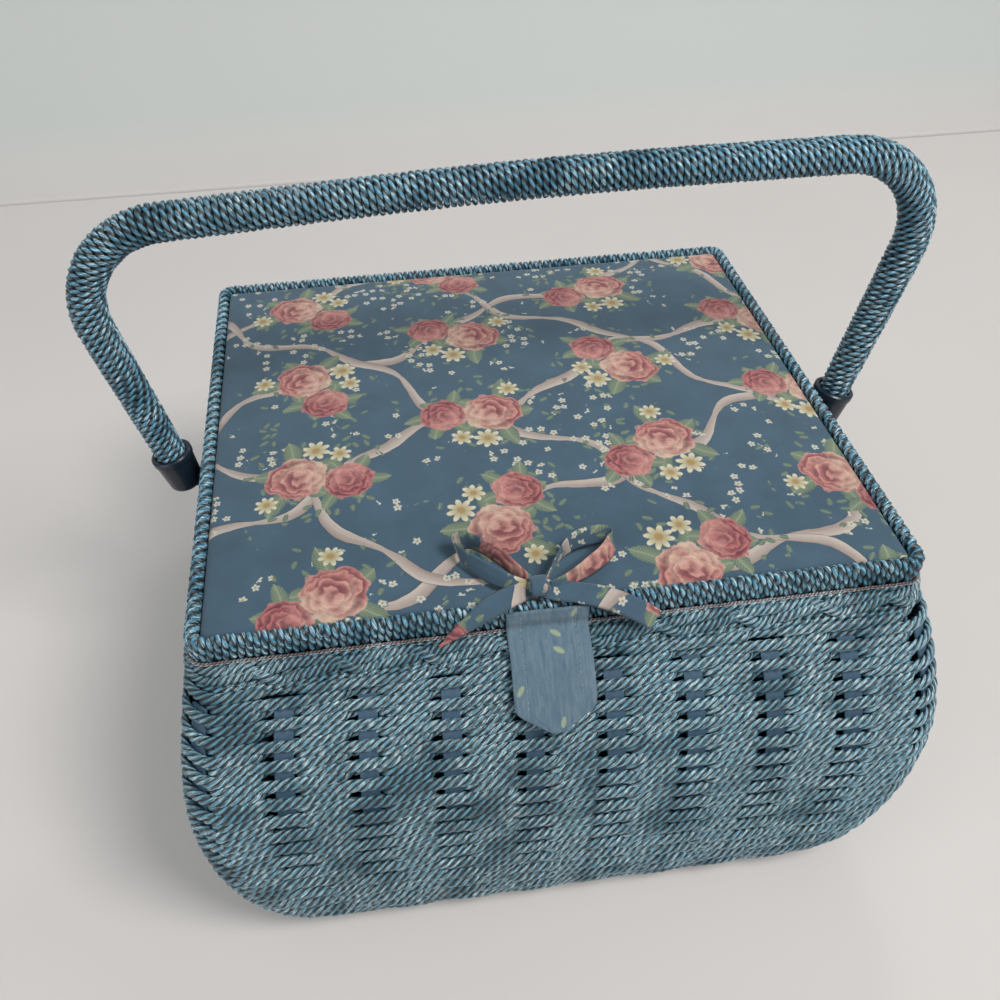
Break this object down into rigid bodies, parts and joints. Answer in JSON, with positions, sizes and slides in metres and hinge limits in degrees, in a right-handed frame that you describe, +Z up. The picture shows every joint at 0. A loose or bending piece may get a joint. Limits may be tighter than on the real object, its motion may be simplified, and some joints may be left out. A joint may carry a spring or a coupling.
{
  "type": "sewing basket",
  "caption": "Woven cord sewing basket: bulging walls on flat stakes, one hinged padded lid with bound rail, closing tab and bow, swing handle, lift-out tray.",
  "frame": {"origin": "on the floor, under the middle of the basket", "axes": "+X to the right along the handle's bar, +Y towards the hinged rear, +Z up; the closing tab faces -Y"},
  "size_m": [0.405, 0.3558, 0.3193],
  "materials": {
    "paper_cord": "satin lacquered paper cord",
    "stake_strip": "matte painted strip",
    "hoop_wood": "plain sanded wood",
    "base_wood": "plain board",
    "card_cloth": "cloth-faced card",
    "tray_plastic": "smooth moulded plastic",
    "print_cloth": "printed cotton",
    "lining_cloth": "plain cotton",
    "board": "hardboard",
    "socket_plastic": "satin moulded plastic",
    "hinge_metal": "lacquered brass",
    "core_cane": "bare cane",
    "clip_steel": "plain spring steel"
  },
  "bodies": {
    "basket": {"woven_wall": "paper_cord", "wall_stakes": "stake_strip", "rim_border": "paper_cord", "rim_frame": "hoop_wood", "foot_rope": "paper_cord", "base_panel": "base_wood", "wall_liner": "card_cloth", "floor_pad": "lining_cloth", "tray": "tray_plastic", "pincushion": "print_cloth", "pivot_bush_left": "socket_plastic", "pivot_bush_right": "socket_plastic", "rim_hinge_leaves": "hinge_metal", "hinge_pins": "hinge_metal", "rim_hinge_screws": "hinge_metal", "snap_stud": "hinge_metal"},
    "lid": {"lid_rail": "paper_cord", "lid_board": "board", "lid_cushion": "print_cloth", "lid_lining": "lining_cloth", "lid_hinge_leaves": "hinge_metal", "lid_hinge_screws": "hinge_metal", "closing_tab": "print_cloth", "snap_cap": "hinge_metal", "bow_knot": "print_cloth", "bow_loops": "print_cloth", "bow_tails": "print_cloth"},
    "handle": {"handle_core": "core_cane", "handle_wrap": "paper_cord", "socket_left": "socket_plastic", "socket_right": "socket_plastic", "pivot_clips": "clip_steel"}
  },
  "joints": [
    {"name": "lid_hinge", "type": "hinge", "parent": "basket", "child": "lid", "pos_m": [0, 0.1438, 0.17815], "axis": [-1, 0, 0], "range_deg": [0, 31]},
    {"name": "handle_swing", "type": "hinge", "parent": "basket", "child": "handle", "pos_m": [0, 0, 0.161], "axis": [1, 0, 0], "range_deg": [-67, 64]}
  ]
}
